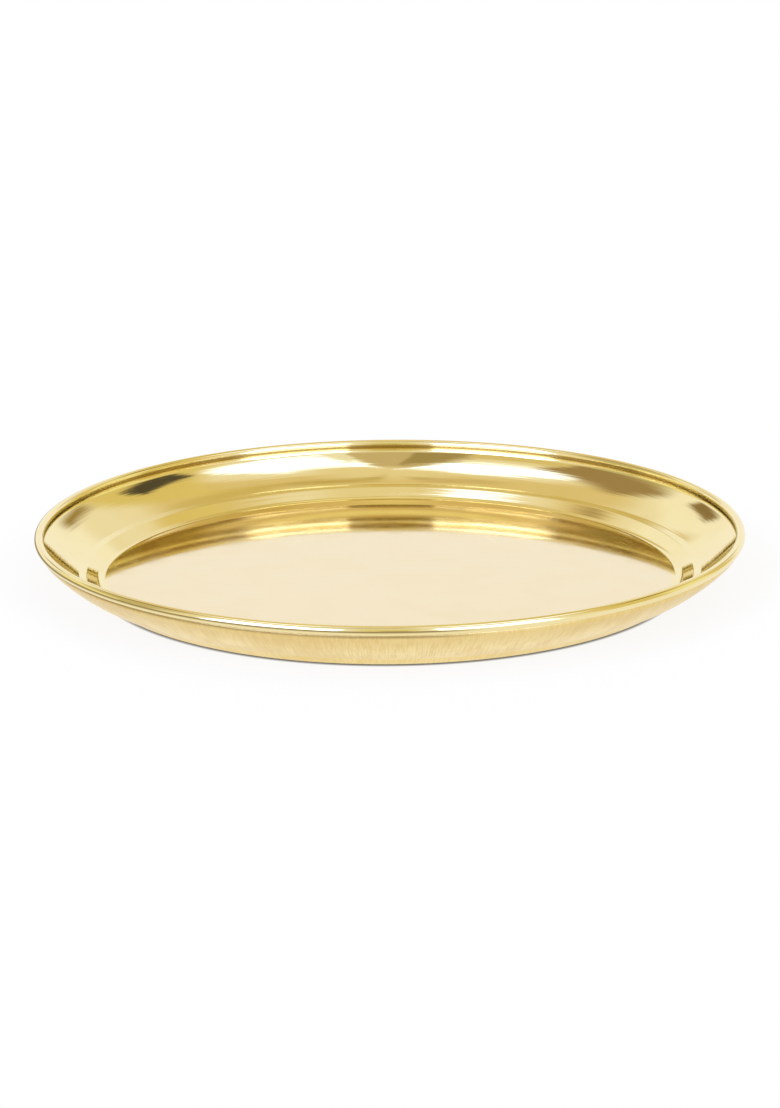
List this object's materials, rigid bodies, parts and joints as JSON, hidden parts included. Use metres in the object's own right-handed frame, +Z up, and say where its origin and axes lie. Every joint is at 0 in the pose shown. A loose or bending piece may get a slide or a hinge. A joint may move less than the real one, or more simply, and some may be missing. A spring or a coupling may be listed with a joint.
{
  "type": "thali plate",
  "caption": "Round brass thali plate with a flat base, a low step and ledge round it, a flared curved wall and a wired rolled rim, polished inside and satin outside, for serving a meal.",
  "frame": {"origin": "centre of the flat underside, on the surface that the plate stands on", "axes": "+Z up along the plate's axis of revolution; +X and +Y lie in the base, with the butted ends of the rim wire at +Y"},
  "size_m": [0.23, 0.23, 0.018],
  "materials": {
    "brass_sheet": "mirror polish inside, satin outside",
    "brass_wire": "drawn wire"
  },
  "bodies": {
    "root": {"dish": "brass_sheet", "rim_wire": "brass_wire"}
  },
  "joints": []
}
